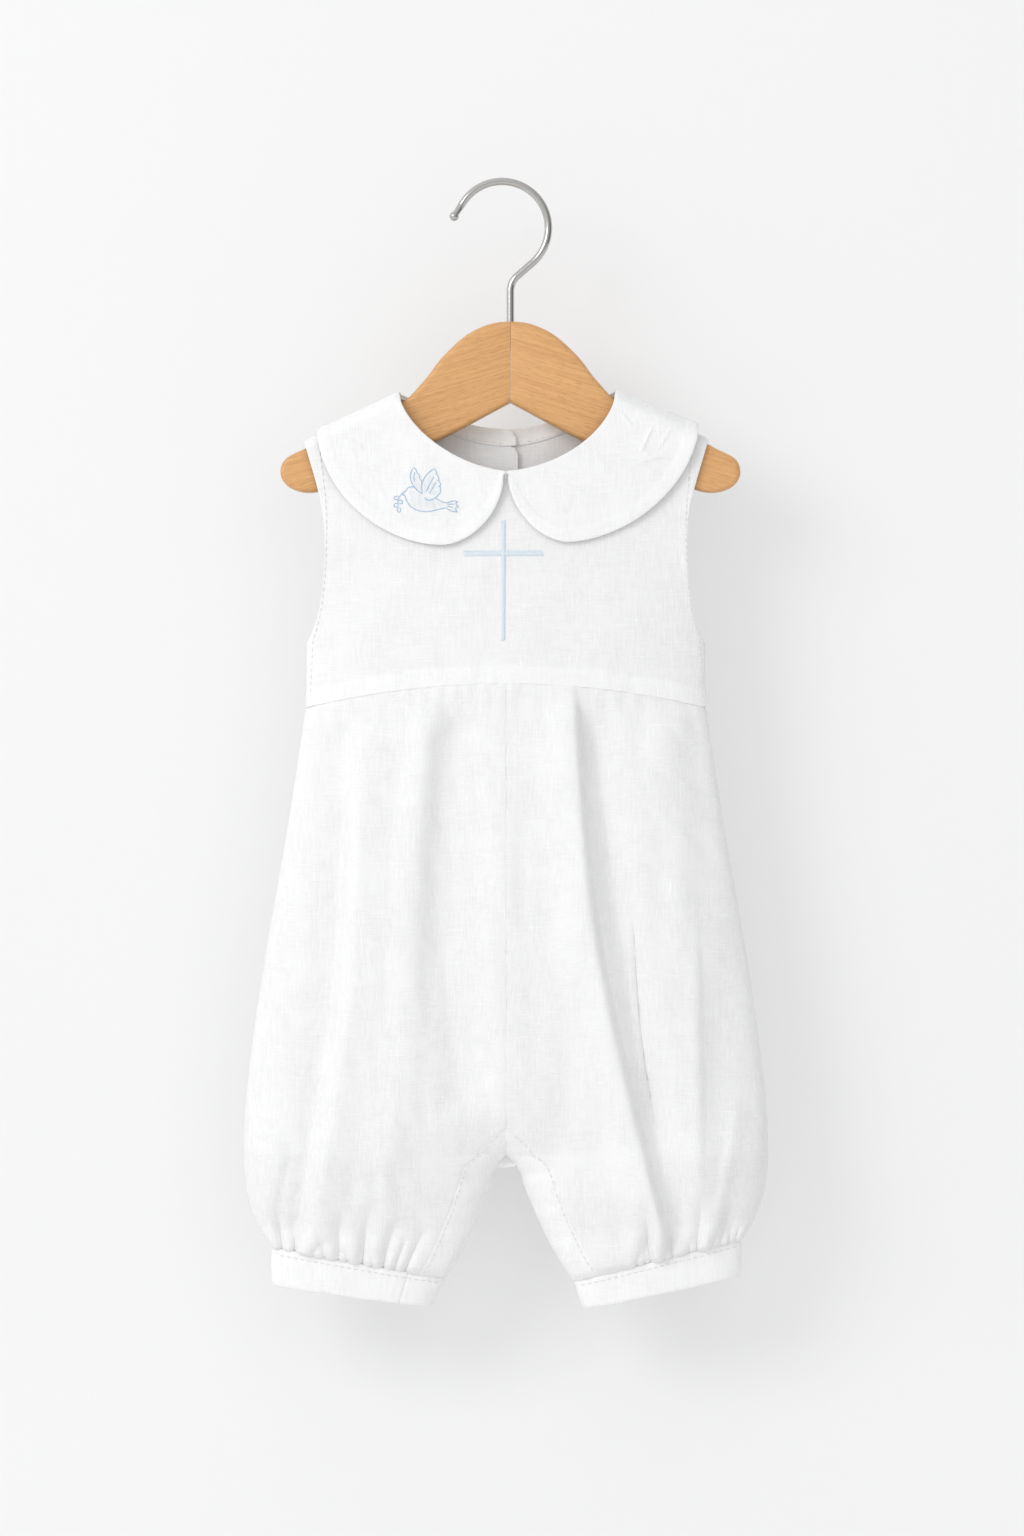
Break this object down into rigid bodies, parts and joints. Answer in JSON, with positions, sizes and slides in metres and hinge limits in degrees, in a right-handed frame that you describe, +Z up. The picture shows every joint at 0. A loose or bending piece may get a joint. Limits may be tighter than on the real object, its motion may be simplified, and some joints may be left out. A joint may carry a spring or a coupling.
{
  "type": "baby romper on a hanger",
  "caption": "Sleeveless linen baby romper with a flat round collar, yoke and gathered cuffs, hanging on a small wooden hanger with a wire hook.",
  "frame": {"origin": "under the top of the hook's wire, where the hook rests on a rail that runs along Y", "axes": "+Z up, the romper's front towards -Y, +X to the right of someone looking at its front"},
  "size_m": [0.2628, 0.0505, 0.5663],
  "materials": {
    "linen": "white linen, plain weave, matt",
    "linen_collar": "white linen, two layers, pressed",
    "button": "pearly white",
    "hanger_wood": "clear satin varnish on beech",
    "hook_wire": "satin"
  },
  "bodies": {
    "root": {"yoke_front": "linen", "yoke_back_left": "linen", "yoke_back_right": "linen", "neck_binding": "linen", "collar_left": "linen_collar", "collar_right": "linen_collar", "trouser_front_left": "linen", "trouser_front_right": "linen", "trouser_back_left": "linen", "trouser_back_right": "linen", "inseam_band_front_left": "linen", "inseam_band_front_right": "linen", "inseam_band_back_left": "linen", "inseam_band_back_right": "linen", "cuff_left": "linen", "cuff_right": "linen", "button_1": "button", "button_2": "button", "button_3": "button", "hanger_arm_left": "hanger_wood", "hanger_arm_right": "hanger_wood", "hanger_hook": "hook_wire"}
  },
  "joints": []
}
